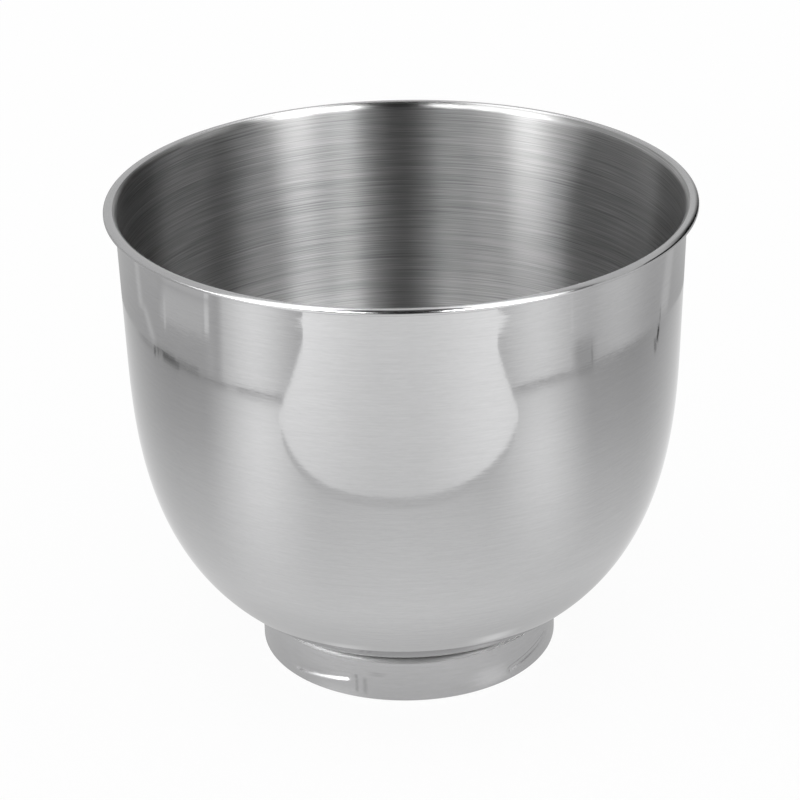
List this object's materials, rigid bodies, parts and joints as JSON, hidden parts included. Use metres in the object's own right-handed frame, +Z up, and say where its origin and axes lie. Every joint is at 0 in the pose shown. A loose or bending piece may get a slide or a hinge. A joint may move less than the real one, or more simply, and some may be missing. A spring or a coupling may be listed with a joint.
{
  "type": "stand mixer bowl",
  "caption": "Round deep-drawn steel bowl with a rolled lip, on a welded foot ring with pressed bayonet grooves.",
  "frame": {"origin": "on the axis at the bottom edge of the foot ring, where the bowl stands", "axes": "+Z up along the bowl's axis; the pictured front faces -Y"},
  "size_m": [0.2198, 0.2198, 0.1837],
  "materials": {
    "bowl_steel": "polished outside with faint polishing lines, brushed round the inside",
    "foot_steel": "pressed band, polished with faint marks"
  },
  "bodies": {
    "root": {"bowl_shell": "bowl_steel", "foot_ring": "foot_steel"}
  },
  "joints": []
}
